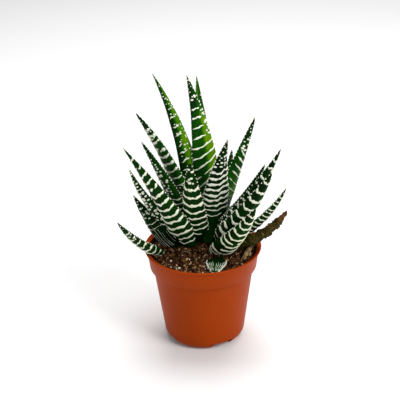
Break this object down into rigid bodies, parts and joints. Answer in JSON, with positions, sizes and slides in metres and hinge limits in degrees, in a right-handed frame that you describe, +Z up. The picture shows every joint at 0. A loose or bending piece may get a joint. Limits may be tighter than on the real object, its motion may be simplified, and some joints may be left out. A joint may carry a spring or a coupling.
{
  "type": "potted haworthia",
  "caption": "Small haworthia rosette with pale-banded pointed leaves, rooted in potting soil in a round tapered plastic grower pot.",
  "frame": {"origin": "centre of the pot's flat underside", "axes": "+Z up the pot's axis, -Y toward the front, +X to the viewer's right"},
  "size_m": [0.076, 0.0736, 0.1267],
  "materials": {
    "pot_plastic": "satin",
    "potting_soil": "matte",
    "stem_tissue": "matte",
    "leaf_skin": "satin",
    "leaf_band": "matte",
    "dead_leaf": "matte",
    "dry_leaf": "matte",
    "grit": "matte"
  },
  "bodies": {
    "root": {"pot": "pot_plastic", "soil": "potting_soil", "stem": "stem_tissue", "leaf_heart_left": "leaf_skin", "leaf_heart_right": "leaf_skin", "leaf_centre": "leaf_skin", "leaf_centre_rear": "leaf_skin", "leaf_tall_left": "leaf_skin", "leaf_tall_right": "leaf_skin", "leaf_front": "leaf_skin", "leaf_right_centre": "leaf_skin", "leaf_left_upper": "leaf_skin", "leaf_rear_right_inner": "leaf_skin", "leaf_left_middle": "leaf_skin", "leaf_right_rear": "leaf_skin", "leaf_right_long": "leaf_skin", "leaf_back_upper": "leaf_skin", "leaf_back_left": "leaf_skin", "leaf_back_right": "leaf_skin", "leaf_front_left": "leaf_skin", "leaf_right_front": "leaf_skin", "leaf_left_lower": "leaf_skin", "leaf_back_right_lower": "leaf_skin", "leaf_back_left_lower": "leaf_skin", "leaf_back_lower": "leaf_skin", "leaf_right_lower": "leaf_skin", "leaf_front_right": "leaf_skin", "leaf_left_lowest": "leaf_skin", "leaf_dead_right": "dead_leaf", "leaf_over_rim": "leaf_skin", "leaf_stub": "leaf_skin", "dry_strip": "dry_leaf"}
  },
  "joints": []
}
